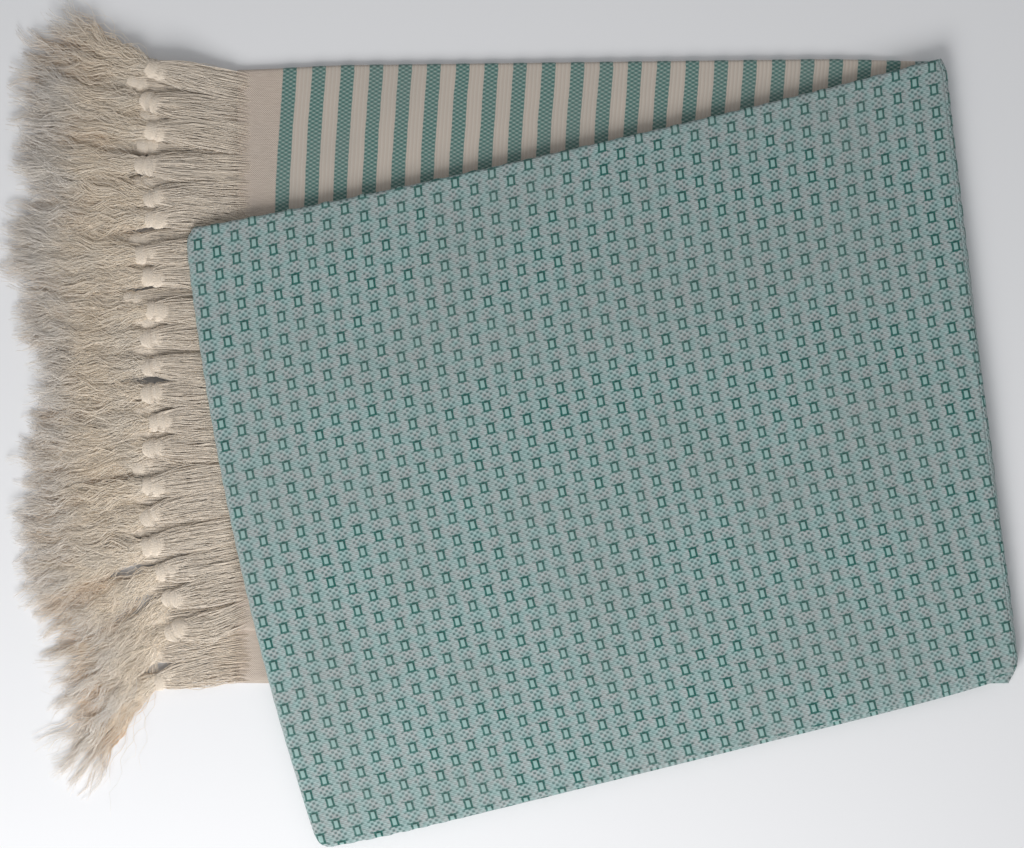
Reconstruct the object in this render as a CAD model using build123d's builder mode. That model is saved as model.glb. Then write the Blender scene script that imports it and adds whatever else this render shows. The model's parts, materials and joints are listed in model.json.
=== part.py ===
from build123d import *
import math
import os

# A fringed, flat-woven bath towel, folded. The cloth is doubled along its length, with the
# lengthwise fold at the back and the two selvedges at the front. The doubled strip is then
# folded over crosswise at the right, so that a flap lies on the base at a slight turn, and the
# far end of the strip is tucked back in between the flap and the base. Both ends of the cloth
# have a plain hem band and a row of knotted tassels.
#
# Six layers lie on each other, counted from 0 at the bottom: the base's two, the tucked end's
# two and the flap's two. Everything is laid out from the corner where the lengthwise fold meets
# the crosswise fold, with +X along the base away from the fringe and +Y towards the lengthwise
# fold. The finished pieces are moved so that the origin is at the bottom centre of the whole.

# ---------------------------------------------------------------- cloth
ply = 2.0  # one layer of cloth, with its raised weave
ply_gap = 0.4  # air between two layers
clearance = 0.3  # between pieces that part when the flap opens
hem_band = 36.0  # plain woven band at each end of the cloth

# ---------------------------------------------------------------- base
base_length = 588.0  # along the lengthwise fold, from the crosswise fold to the fringe
base_upper_width = 461.0  # upper layer, down the fringed end
base_lower_width = 506.0  # lower layer, which shows past the upper one
hem_lean = 1.0  # degrees, the fringed end against square

# ---------------------------------------------------------------- crosswise fold and flap
fold_length = 507.0
fold_lean = 6.15  # degrees, the crosswise fold against square
flap_length = 646.0  # along the lengthwise fold
flap_turn = 11.9  # degrees, the flap's back edge against the base's
end_fold_length = 519.0  # the fold at the flap's far end, straight across
end_fold_lean = 11.4  # degrees
end_fold_bow = 14.0  # how far that fold bulges out of straight
under_show = 6.0  # the flap's lower layer shows this far past the upper one
under_show_at = 96.0  # and this far from the crosswise fold
under_inset = 15.0  # and it hides this far behind the upper one at the end fold

# ---------------------------------------------------------------- tucked end
tucked_length = 235.0
tucked_inset = 5.0  # from the flap's edges

# ---------------------------------------------------------------- fringe
tassels_per_layer = 20
tassel_gap = 0.8  # between the roots of neighbours
root_length = 74.0  # from the end of the weave to the middle of the knot
neck_width = 8.0
neck_run = 13.0  # where the yarns rise from the cloth's level to the knot
knot_length = 16.0
knot_width = 14.0
knot_height = 5.6
knot_round = 1.8
skirt_length = 112.0  # from the middle of the knot to the tips
skirt_neck_width = 9.0
skirt_width = 21.0
skirt_height = 4.4
root_turn_back = 6.0  # degrees that the first and last roots turn outwards
root_turn_front = 16.0
skirt_turn_back = 30.0  # degrees that the first and last skirts turn outwards
skirt_turn_front = 50.0
back_reach = 0.14  # share of the fringe that turns back
front_reach = 0.38  # share of the fringe that turns to the front

layer_step = ply + ply_gap
stack_height = 6 * ply + 5 * ply_gap


def underside(layer):
    """Height of a layer's underside."""
    return layer * layer_step


def away(point, length, angle):
    """The place at this length and angle from a point, the angle in degrees from +X."""
    turned = math.radians(angle)
    return (point[0] + length * math.cos(turned), point[1] + length * math.sin(turned))


def between(start, end, share):
    """A place on the line from start to end."""
    return (start[0] + share * (end[0] - start[0]), start[1] + share * (end[1] - start[1]))


# ---------------------------------------------------------------- places
corner = (0.0, 0.0)
fold_end = away(corner, fold_length, fold_lean - 90)
flap_corner = away(corner, clearance, 180 + flap_turn)
flap_fold_end = (fold_end[0] - clearance, fold_end[1])
hem_back = (-base_length, 0.0)
upper_hem_front = away(hem_back, base_upper_width, -90 - hem_lean)
lower_hem_front = away(hem_back, base_lower_width, -90 - hem_lean)
flap_back = away(corner, flap_length, 180 + flap_turn)
flap_front = away(flap_back, end_fold_length, end_fold_lean - 90)

# The end fold is an arc that bulges away from the flap.
arc_radius = end_fold_length**2 / (8 * end_fold_bow) + end_fold_bow / 2
arc_half_angle = math.degrees(math.asin(end_fold_length / (2 * arc_radius)))
arc_centre = away(between(flap_front, flap_back, 0.5), arc_radius - end_fold_bow, end_fold_lean)


def on_end_fold(inset):
    """A place on the end fold's arc, from 0 at its front end, by length. Negative insets count
    from its back end."""
    turned = math.degrees(abs(inset) / arc_radius)
    from_front = arc_half_angle - turned
    angle = 180 + end_fold_lean + (from_front if inset >= 0 else -from_front)
    return away(arc_centre, arc_radius, angle)


arc_middle = away(arc_centre, arc_radius, 180 + end_fold_lean)
tucked_front = on_end_fold(under_inset + tucked_inset)
tucked_back = on_end_fold(-tucked_inset)
tucked_hem_back = away(tucked_back, tucked_length, end_fold_lean)
tucked_hem_front = away(tucked_front, tucked_length, end_fold_lean)
tucked_band_back = away(tucked_hem_back, hem_band, 180 + end_fold_lean)
tucked_band_front = away(tucked_hem_front, hem_band, 180 + end_fold_lean)


def flat_ply(points, layer, arc_end=False):
    """One layer of cloth over an outline. With arc_end, its last side follows the end fold."""
    with BuildPart() as cloth:
        with BuildSketch(Plane.XY.offset(underside(layer))):
            with BuildLine():
                Polyline(*points)
                if arc_end:
                    ThreePointArc(points[-1], arc_middle, points[0])
                else:
                    Line(points[-1], points[0])
            make_face()
        extrude(amount=ply)
    return cloth.part


def bend_profile(start, outward, low_layer, high_layer):
    """The section of a fold that joins two layers, as a half ring that bulges outwards."""
    low = underside(low_layer)
    high = underside(high_layer) + ply
    outer = (high - low) / 2
    heading = away((0, 0), 1, outward)
    along = (heading[1], -heading[0], 0)
    place = Plane((*start, (low + high) / 2), x_dir=(*heading, 0), z_dir=along)
    with BuildSketch(place) as section:
        Circle(outer)
        Circle(outer - ply, mode=Mode.SUBTRACT)
        with Locations((-outer, 0)):
            Rectangle(2 * outer, 2 * outer, mode=Mode.SUBTRACT)
    return section.sketch


def straight_bend(start, outward, length, low_layer, high_layer):
    """A fold along a straight line."""
    along = Vector(*away((0, 0), 1, outward - 90), 0)
    section = bend_profile(start, outward, low_layer, high_layer)
    with BuildPart() as bend:
        extrude(section, amount=length, dir=along)
    return bend.part


def end_bend(low_layer, high_layer):
    """A fold along the flap's end, which is an arc."""
    outward = 180 + end_fold_lean + arc_half_angle
    section = bend_profile(flap_front, outward, low_layer, high_layer)
    arc_axis = Axis((*arc_centre, 0), (0, 0, -1))
    with BuildPart() as bend:
        revolve(section, axis=arc_axis, revolution_arc=2 * arc_half_angle)
    return bend.part


def turns(share):
    """How far a tassel's root and skirt turn, in degrees, at a share of the way to the front."""
    to_back = max(0.0, 1 - share / back_reach)
    to_front = max(0.0, 1 - (1 - share) / front_reach)
    root = root_turn_back * to_back - root_turn_front * to_front
    skirt = skirt_turn_back * to_back - skirt_turn_front * to_front**1.3
    return root, skirt


def upright(place, height, heading):
    """A plane across a tassel, looking along its heading."""
    direction = away((0, 0), 1, heading)
    return Plane((*place, height), x_dir=(-direction[1], direction[0], 0), z_dir=(*direction, 0))


def tassel(back, front, number, layer):
    """One knotted bunch of warp ends: a flat fan out of the weave, a knot and a loose skirt.

    The tassels of the two layers lie on each other, so the upper row's knots are higher."""
    middle_share = (number + 0.5) / tassels_per_layer
    half_root = (math.dist(back, front) / tassels_per_layer - tassel_gap) / 2
    root_middle = between(back, front, middle_share)
    hem_angle = math.degrees(math.atan2(front[1] - back[1], front[0] - back[0]))
    root_turn, skirt_turn = turns(middle_share)
    root_heading = 180 - root_turn
    skirt_heading = 180 - skirt_turn
    knot = away(root_middle, root_length, root_heading)
    neck_start = away(knot, -knot_length / 2 - neck_run, root_heading)
    neck_end = away(knot, -knot_length / 2, root_heading)
    tips = away(knot, skirt_length, skirt_heading)
    knot_low = layer * (knot_height + ply_gap)
    tip_low = layer * (skirt_height + ply_gap)
    with BuildPart() as bunch:
        with BuildSketch(Plane((*knot, knot_low), x_dir=(*away((0, 0), 1, root_heading), 0))):
            Ellipse(knot_length / 2 + 1, knot_width / 2)
        extrude(amount=knot_height)
        fillet(edges().filter_by(GeomType.ELLIPSE), knot_round)
        with BuildSketch(Plane.XY.offset(underside(layer))):
            with BuildLine():
                Polyline(
                    away(root_middle, -half_root, hem_angle),
                    away(root_middle, half_root, hem_angle),
                    away(neck_start, neck_width / 2, root_heading + 90),
                    away(neck_start, neck_width / 2, root_heading - 90),
                    close=True,
                )
            make_face()
        extrude(amount=ply)
        with BuildSketch(upright(neck_start, underside(layer) + ply / 2, root_heading)):
            Rectangle(neck_width, ply)
        with BuildSketch(upright(neck_end, knot_low + knot_height / 2, root_heading)):
            Rectangle(neck_width, knot_height - knot_round)
        loft()
        with BuildSketch(upright(knot, knot_low + knot_height / 2, skirt_heading)):
            Rectangle(skirt_neck_width, skirt_height)
        with BuildSketch(upright(tips, tip_low + skirt_height / 2, skirt_heading)):
            Rectangle(skirt_width, skirt_height)
        loft()
    return bunch.part


def tucked_tassels(layer):
    """The tassels of one layer of the tucked end, pressed flat between the layers."""
    half_share = 0.5 / tassels_per_layer
    half_gap = tassel_gap / math.dist(tucked_hem_back, tucked_hem_front) / 2
    side = end_fold_lean - 90
    with BuildPart() as row:
        for number in range(tassels_per_layer):
            share = (2 * number + 1) * half_share
            root = between(tucked_hem_back, tucked_hem_front, share)
            root_back = between(tucked_hem_back, tucked_hem_front, share - half_share + half_gap)
            root_front = between(tucked_hem_back, tucked_hem_front, share + half_share - half_gap)
            knot_in = away(root, root_length - knot_length / 2, end_fold_lean)
            knot_out = away(root, root_length + knot_length / 2, end_fold_lean)
            tips = away(root, root_length + skirt_length, end_fold_lean)
            with BuildSketch(Plane.XY.offset(underside(layer))):
                with BuildLine():
                    Polyline(
                        root_back,
                        root_front,
                        away(knot_in, neck_width / 2, side),
                        away(knot_out, neck_width / 2, side),
                        away(tips, skirt_width / 2, side),
                        away(tips, -skirt_width / 2, side),
                        away(knot_out, -neck_width / 2, side),
                        away(knot_in, -neck_width / 2, side),
                        close=True,
                    )
                make_face()
            extrude(amount=ply)
    return row.part


def shifted(point, length):
    """The place this far along the base from a point."""
    return (point[0] + length, point[1])


# ---------------------------------------------------------------- pieces
pieces = {}

# The base's two layers, each with its hem band at the fringed end.
for name, layer, hem_front in (
    ("base_lower", 0, lower_hem_front),
    ("base_upper", 1, upper_hem_front),
):
    band_back = shifted(hem_back, hem_band)
    band_front = shifted(hem_front, hem_band)
    pieces[f"{name}_layer"] = flat_ply((corner, fold_end, band_front, band_back), layer)
    pieces[f"{name}_hem"] = flat_ply((band_back, band_front, hem_front, hem_back), layer)
pieces["base_back_fold"] = straight_bend(hem_back, 90, base_length - clearance, 0, 1)

# The crosswise fold, an outer bend and an inner one, between the base and the flap.
pieces["crosswise_fold_outer"] = straight_bend(corner, fold_lean, fold_length, 0, 5)
pieces["crosswise_fold_inner"] = straight_bend(corner, fold_lean, fold_length, 1, 4)

# The flap's two layers and the folds at its back and its end.
under_edge = between(fold_end, flap_front, under_show_at / math.dist(fold_end, flap_front))
under_edge = (under_edge[0], under_edge[1] - under_show)
pieces["flap_upper_layer"] = flat_ply(
    (flap_back, flap_corner, flap_fold_end, flap_front), 5, arc_end=True
)
pieces["flap_lower_layer"] = flat_ply(
    (flap_back, flap_corner, flap_fold_end, under_edge, on_end_fold(under_inset)), 4, arc_end=True
)
pieces["flap_back_fold"] = straight_bend(flap_back, 90 + flap_turn, flap_length - clearance, 4, 5)
pieces["end_fold_outer"] = end_bend(2, 5)
pieces["end_fold_inner"] = end_bend(3, 4)

# The tucked end's two layers, their hem bands, the fold at their back and their tassels.
for name, layer in (("tucked_lower", 2), ("tucked_upper", 3)):
    pieces[f"{name}_layer"] = flat_ply(
        (tucked_back, tucked_band_back, tucked_band_front, tucked_front), layer, arc_end=True
    )
    pieces[f"{name}_hem"] = flat_ply(
        (tucked_band_back, tucked_hem_back, tucked_hem_front, tucked_band_front), layer
    )
    pieces[f"{name}_tassels"] = tucked_tassels(layer)
tucked_fold_start = away(tucked_back, 2 * clearance, end_fold_lean)
tucked_fold_length = tucked_length - 2 * clearance
pieces["tucked_back_fold"] = straight_bend(
    tucked_fold_start, 90 + end_fold_lean, tucked_fold_length, 2, 3
)

# The tassels of the fringe that shows, one by one.
for name, layer, hem_front in (("lower", 0, lower_hem_front), ("upper", 1, upper_hem_front)):
    for number in range(tassels_per_layer):
        pieces[f"{name}_tassel_{number + 1:02d}"] = tassel(hem_back, hem_front, number, layer)

# ---------------------------------------------------------------- placing and writing
whole = Compound(list(pieces.values())).bounding_box()
to_origin = Location((-(whole.min.X + whole.max.X) / 2, -(whole.min.Y + whole.max.Y) / 2, 0))
os.makedirs("parts", exist_ok=True)
for name, piece in pieces.items():
    placed = piece.moved(to_origin)
    placed.label = name
    export_step(placed, f"parts/{name}.step")

hinge = (corner[0] + to_origin.position.X, corner[1] + to_origin.position.Y, stack_height / 2)
heading = away((0, 0), 1, fold_lean + 90)
print(f"{len(pieces)} pieces, {whole.size.X:.1f} x {whole.size.Y:.1f} x {whole.size.Z:.1f} mm")
print("crosswise fold passes", [round(value, 3) for value in hinge], "along", heading)
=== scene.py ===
"""A fringed, flat-woven bath towel, folded along its length and then crosswise, with a flap
that opens about the crosswise fold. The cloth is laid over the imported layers, and each tassel
is spun from its own yarns."""

import json
import logging
import math
from dataclasses import dataclass
from enum import Enum

import bpy
import numpy as np
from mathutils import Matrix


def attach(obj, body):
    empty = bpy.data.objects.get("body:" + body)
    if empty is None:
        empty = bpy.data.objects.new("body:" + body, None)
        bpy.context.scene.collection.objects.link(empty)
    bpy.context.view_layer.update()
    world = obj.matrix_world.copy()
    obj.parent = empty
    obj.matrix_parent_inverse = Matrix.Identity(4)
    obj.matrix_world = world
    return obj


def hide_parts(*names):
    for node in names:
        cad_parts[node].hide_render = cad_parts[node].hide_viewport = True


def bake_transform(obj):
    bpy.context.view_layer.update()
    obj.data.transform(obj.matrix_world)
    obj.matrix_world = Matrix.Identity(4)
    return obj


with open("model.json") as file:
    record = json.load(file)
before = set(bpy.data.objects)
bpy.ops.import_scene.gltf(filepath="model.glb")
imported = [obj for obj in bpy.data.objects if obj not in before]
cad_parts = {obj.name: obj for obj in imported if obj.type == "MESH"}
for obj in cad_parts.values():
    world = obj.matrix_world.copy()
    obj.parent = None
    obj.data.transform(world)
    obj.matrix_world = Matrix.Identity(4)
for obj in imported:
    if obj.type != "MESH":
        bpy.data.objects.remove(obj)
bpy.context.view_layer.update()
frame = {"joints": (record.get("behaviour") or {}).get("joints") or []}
bpy.ops.object.select_all(action="DESELECT")

log = logging.getLogger("towel")
MM = 0.001
SEED = 20
UP = np.array([0.0, 0.0, 1.0])
YARN_STEP = 10 * MM  # from one yarn to the next on the map "yarn"


class Body(Enum):
    """The two rigid bodies of the folded towel."""

    BASE = "base"
    FLAP = "flap"


class Weave(Enum):
    """The weaves of the cloth and the yarn."""

    STRIPED = "striped_weave"
    BLOCK = "block_weave"
    YARN = "cream_yarn"


def unit(angle: float) -> np.ndarray:
    """The direction in the plan at this many degrees from +X."""
    return np.array([math.cos(math.radians(angle)), math.sin(math.radians(angle))])


def smooth(low: float, high: float, value: np.ndarray) -> np.ndarray:
    """Rises smoothly from 0 at low to 1 at high."""
    share = np.clip((value - low) / (high - low), 0, 1)
    return share * share * (3 - 2 * share)


@dataclass(frozen=True)
class Edge:
    """One edge of a strip of cloth in the plan, straight but for a bow to one side.

    Args:
        start: Where it starts, in metres.
        end: Where it ends.
        bow: How far its middle stands out, to the left of the way from start to end.
        flat: How flat the bow's top is: 2 for an arc, and more for a squarer one.
        eased: The share at each end that the bow rises over, or 0 for an arc.
        rounded: How far its corners pull to the left of the way, as rounded corners do.
        corner: The share of the edge that a rounded corner takes.
        arc: How far round a corner's arc goes, where 1 is a quarter turn.
    """

    start: np.ndarray
    end: np.ndarray
    bow: float = 0.0
    flat: float = 2.0
    eased: float = 0.0
    rounded: tuple[float, float] = (0.0, 0.0)
    corner: float = 0.028
    arc: float = 0.96

    def side(self) -> np.ndarray:
        """The direction to the left of the way from start to end."""
        chord = self.end - self.start
        return np.array([-chord[1], chord[0]]) / np.linalg.norm(chord)

    def at(self, share: np.ndarray) -> np.ndarray:
        """The edge's points at shares of its length, as an array of x and y.

        Args:
            share: The shares, from 0 at its start to 1 at its end.

        Returns:
            An array of x and y, in metres.
        """
        rise = 1 - np.abs(2 * share - 1) ** self.flat
        if self.eased:
            rise = smooth(0, self.eased, share) * smooth(0, self.eased, 1 - share)
        out = self.bow * rise
        for pull, inside in zip(self.rounded, (share, 1 - share)):
            near = np.clip(1 - inside / self.corner, 0, 1)
            out = out + pull * (1 - np.sqrt(1 - self.arc * near**2))
        straight = self.start + share[..., None] * (self.end - self.start)
        return straight + out[..., None] * self.side()


@dataclass(frozen=True)
class Strip:
    """A doubled strip of cloth between two crosswise edges, seen from above.

    Args:
        back: The edge along the lengthwise fold.
        front: The edge along the selvedge.
        near: The crosswise edge that the strip starts at, from back to front.
        far: The crosswise edge that it ends at, from back to front.
        middle: Height of the middle of the doubled strip.
    """

    back: Edge
    front: Edge
    near: Edge
    far: Edge
    middle: float

    def plan(self, along: np.ndarray, across: np.ndarray) -> np.ndarray:
        """The strip's places in the plan, blended from its four edges.

        Args:
            along: Shares of the way from the near to the far edge.
            across: Shares of the way from the back to the front edge.

        Returns:
            An array of x and y with the shape of the shares.
        """
        u, v = along[..., None], across[..., None]
        rails = (1 - v) * self.back.at(along) + v * self.front.at(along)
        rungs = (1 - u) * self.near.at(across) + u * self.far.at(across)
        corners = (1 - v) * ((1 - u) * self.back.start + u * self.back.end)
        corners = corners + v * ((1 - u) * self.front.start + u * self.front.end)
        return rails + rungs - corners

    def back_way(self) -> np.ndarray:
        """The direction out over the back edge."""
        side = self.back.side()
        inwards = self.front.start - self.back.start
        return side if side @ inwards < 0 else -side


@dataclass(frozen=True)
class Lay:
    """How a strip's cloth runs in the plan, which places the weave on it.

    Args:
        origin: A place in the plan.
        heading: The direction that the cloth runs in there, in degrees.
        across: The turn from there to the direction across the cloth, in degrees.
        start: How far along and across the cloth the origin is, in metres.
        skew: The columns' lean there, and its first and second change with the depth across.
        lean: How far the columns swing over just inside the back edge.
        swing: How deep that swing goes, in metres.
    """

    origin: np.ndarray
    heading: float
    across: float
    start: tuple[float, float]
    skew: tuple[float, float, float] = (0.0, 0.0, 0.0)
    lean: float = 0.0
    swing: float = 0.13

    def cloth(self, plan: np.ndarray) -> np.ndarray:
        """The places on the flat cloth, along and across, of places in the plan.

        Args:
            plan: The places in the plan, as an array of x and y.

        Returns:
            The places on the cloth, in metres.
        """
        run = (plan - self.origin) @ unit(self.heading)
        depth = (plan - self.origin) @ unit(self.heading + self.across)
        first, second, third = self.skew
        along = run + depth * (first + depth * (second + depth * third))
        along = along + self.lean * np.tanh(np.maximum(depth, 0) / self.swing)
        return np.stack([self.start[0] + along, self.start[1] + depth], axis=-1)


@dataclass(frozen=True)
class Fold:
    """How the towel lies: the sizes of its layers and the places of its folds, in metres and
    degrees. A lean is the turn of a crosswise edge, or of the rows of the weave, from the
    base's square. A bow is how far an edge's middle stands out. An inset is how far an edge
    lies inside its own line. base_show and flap_show are how far the lower and the upper layer
    stick out at the front of the crosswise fold."""

    ply: float = 2.0 * MM
    gap: float = 0.4 * MM
    base_length: float = 588.0 * MM
    upper_width: float = 461.0 * MM
    lower_width: float = 506.0 * MM
    hem_lean: float = 1.0
    fold_length: float = 507.0 * MM
    fold_lean: float = 6.15
    flap_length: float = 646.0 * MM
    flap_turn: float = 11.9
    end_length: float = 519.0 * MM
    end_lean: float = 11.4
    end_bow: float = 14.0 * MM
    base_back_bow: float = 2.8 * MM
    flap_back_bow: float = 5.5 * MM
    flap_front_bow: float = 4.2 * MM
    fold_inset: float = 6.5 * MM
    fold_reach: float = 0.62
    fold_bow: float = -1.5 * MM
    end_inset: float = 5.0 * MM
    row_lean: float = 12.8
    tucked_length: float = 235.0 * MM
    tucked_inset: float = 5.0 * MM
    under_inset: float = 15.0 * MM
    flap_show: tuple[float, float] = (3.5 * MM, -1.5 * MM)
    base_show: tuple[float, float] = (10.0 * MM, 5.0 * MM)
    front_bow: float = -1.5 * MM
    fold_rounding: tuple[float, float] = (-3.0 * MM, -6.0 * MM)
    end_rounding: tuple[float, float] = (6.0 * MM, 8.0 * MM)
    column_lean: float = 12.0 * MM
    column_skew: tuple[float, float, float] = (-0.1536, 0.327, -0.175)
    weave_inset: float = 2.0 * MM
    tassels: int = 20

    @property
    def axis_height(self) -> float:
        """Height of the hinge line of the crosswise fold."""
        return frame["joints"][0]["pos_m"][2]

    @property
    def half(self) -> float:
        """Half the thickness of a doubled strip."""
        return self.ply + self.gap / 2

    @property
    def end_height(self) -> float:
        """Height of the line that the flap's end folds about."""
        return (self.level(2) + self.level(5) + self.ply) / 2

    def level(self, layer: int) -> float:
        """Height of a layer's underside, counted from 0 at the bottom."""
        return layer * (self.ply + self.gap)

    def corner(self) -> np.ndarray:
        """The corner where the lengthwise and the crosswise fold meet."""
        return np.array(frame["joints"][0]["pos_m"][:2])

    def places(self) -> dict[str, np.ndarray]:
        """The corners of every strip in the plan, by name."""
        corner = self.corner()
        hem_back = corner - np.array([self.base_length, 0])
        hem_way = unit(-90 - self.hem_lean)
        down = unit(self.end_lean - 90)
        flap_back = corner + self.flap_length * unit(180 + self.flap_turn)
        flap_back = flap_back + self.end_inset * unit(self.end_lean)
        flap_front = flap_back + self.end_length * down
        inset = self.fold_inset * unit(self.fold_lean)
        fold_end = corner + self.fold_length * unit(self.fold_lean - 90)
        across = self.tucked_length * unit(self.end_lean)
        tucked_back = flap_back + self.tucked_inset * down
        tucked_front = flap_front - (self.under_inset + self.tucked_inset) * down
        return {
            "corner": corner - inset,
            "fold_end": fold_end - inset,
            "hem_back": hem_back,
            "upper_front": hem_back + self.upper_width * hem_way,
            "lower_front": hem_back + self.lower_width * hem_way,
            "flap_back": flap_back,
            "flap_front": flap_front,
            "tucked_back": tucked_back,
            "tucked_front": tucked_front,
            "tucked_hem_back": tucked_back + across,
            "tucked_hem_front": tucked_front + across,
        }

    def crosswise(self, show: float) -> Edge:
        """The crosswise fold's edge, of a layer that sticks out by show at its front.

        Args:
            show: How far the layer sticks out, in metres.

        Returns:
            The edge, from the back to the front.
        """
        at = self.places()
        end = at["fold_end"] + show * unit(self.fold_lean - 90)
        return Edge(at["corner"], end, self.fold_bow, rounded=self.fold_rounding)

    def base(self, upper: bool) -> Strip:
        """The base's strip, from the fringed end to the crosswise fold.

        Args:
            upper: Whether it is the upper of the strip's two layers.

        Returns:
            The strip.
        """
        at = self.places()
        front = at["upper_front"] if upper else at["lower_front"]
        crosswise = self.crosswise(self.base_show[upper])
        return Strip(
            Edge(at["hem_back"], at["corner"], self.base_back_bow, eased=0.17),
            Edge(front, crosswise.end, self.front_bow),
            Edge(at["hem_back"], front),
            crosswise,
            self.half,
        )

    def flap(self, upper: bool) -> Strip:
        """The flap's strip, from the crosswise fold to its end fold.

        Args:
            upper: Whether it is the upper of the strip's two layers.

        Returns:
            The strip.
        """
        at = self.places()
        crosswise = self.crosswise(self.flap_show[upper])
        return Strip(
            Edge(at["corner"], at["flap_back"], self.flap_back_bow, 2.5),
            Edge(crosswise.end, at["flap_front"], self.flap_front_bow, 6),
            crosswise,
            Edge(at["flap_back"], at["flap_front"], -self.end_bow, rounded=self.end_rounding),
            self.level(4) + self.half,
        )

    def tucked(self) -> Strip:
        """The tucked end's strip, from the flap's end fold to its fringe."""
        at = self.places()
        return Strip(
            Edge(at["tucked_back"], at["tucked_hem_back"]),
            Edge(at["tucked_front"], at["tucked_hem_front"]),
            Edge(at["tucked_back"], at["tucked_front"], -self.end_bow),
            Edge(at["tucked_hem_back"], at["tucked_hem_front"]),
            self.level(2) + self.half,
        )

    def base_lay(self) -> Lay:
        """How the base's cloth runs."""
        return Lay(self.places()["hem_back"], 0, -90, (0.0, 0.0), lean=self.column_lean)

    def flap_lay(self, start: float) -> Lay:
        """How the flap's cloth runs, from where the cloth's run is start."""
        origin = (start, -self.weave_inset)
        return Lay(self.corner(), 180 + self.row_lean, 90, origin, self.column_skew)

    def tucked_lay(self, start: float) -> Lay:
        """How the tucked end's cloth runs, from where the cloth's run is start."""
        return Lay(self.places()["tucked_back"], self.end_lean, -90, (start, 0.0))


@dataclass(frozen=True)
class Pattern:
    """Where each weave lies along the cloth, and the pitch of its figures, in metres."""

    hem: float = 38.0 * MM
    band_pitch: float = 23.8 * MM
    band: float = 11.6 * MM
    bands: int = 22
    column: float = 15.55 * MM
    row: float = 18.5 * MM
    block: tuple[float, float] = (2.55 * MM, 3.75 * MM)
    start_of_flap: float = 599.3 * MM
    end: float = 1465.0 * MM
    puff: tuple[float, float] = (4.4 * MM, 6.2 * MM)
    puff_height: float = 1.15 * MM
    band_height: float = 0.3 * MM

    def stripes_end(self) -> float:
        """Where the stripes give way to the block weave."""
        return self.hem + self.bands * self.band_pitch

    def relief(self, along: np.ndarray, across: np.ndarray) -> np.ndarray:
        """How far the cloth puffs out at places on it, given along and across it in metres.

        Args:
            along: How far along the cloth the places are.
            across: How far across it they are.

        Returns:
            The height of the relief, in metres.
        """
        column = np.floor(along / self.column)
        across_steps = across / self.row + 0.5 * np.mod(column, 2)
        du = (along / self.column - column - 0.5) * self.column
        dv = (across_steps - np.floor(across_steps) - 0.5) * self.row
        blocks = np.exp(-((du / self.puff[0]) ** 2) - (dv / self.puff[1]) ** 2)
        in_band = np.mod(along - self.hem, self.band_pitch) / self.band
        raised = smooth(0, 0.15, in_band) * (1 - smooth(0.85, 1, in_band))
        woven = smooth(self.stripes_end() - 2 * MM, self.stripes_end() + 2 * MM, along)
        plain = smooth(self.hem - 2 * MM, self.hem, along)
        stripes = (1 - woven) * self.band_height * raised
        return plain * (stripes + woven * self.puff_height * blocks)


def undulation(plan: np.ndarray) -> np.ndarray:
    """The gentle rise and fall of the top of the pile, in metres, at places in the plan.

    Args:
        plan: The places, as an array of x and y.

    Returns:
        The rise at each.
    """
    x, y = plan[..., 0], plan[..., 1]
    slow = np.sin(9.1 * x + 5.3 * y + 0.7) * np.sin(6.3 * x - 10.7 * y + 2.1)
    quick = np.sin(31 * x + 12 * y + 1.3) * np.sin(17 * x - 37 * y + 0.4)
    return (1.1 + 0.9 * slow + 0.35 * quick) * MM


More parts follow.
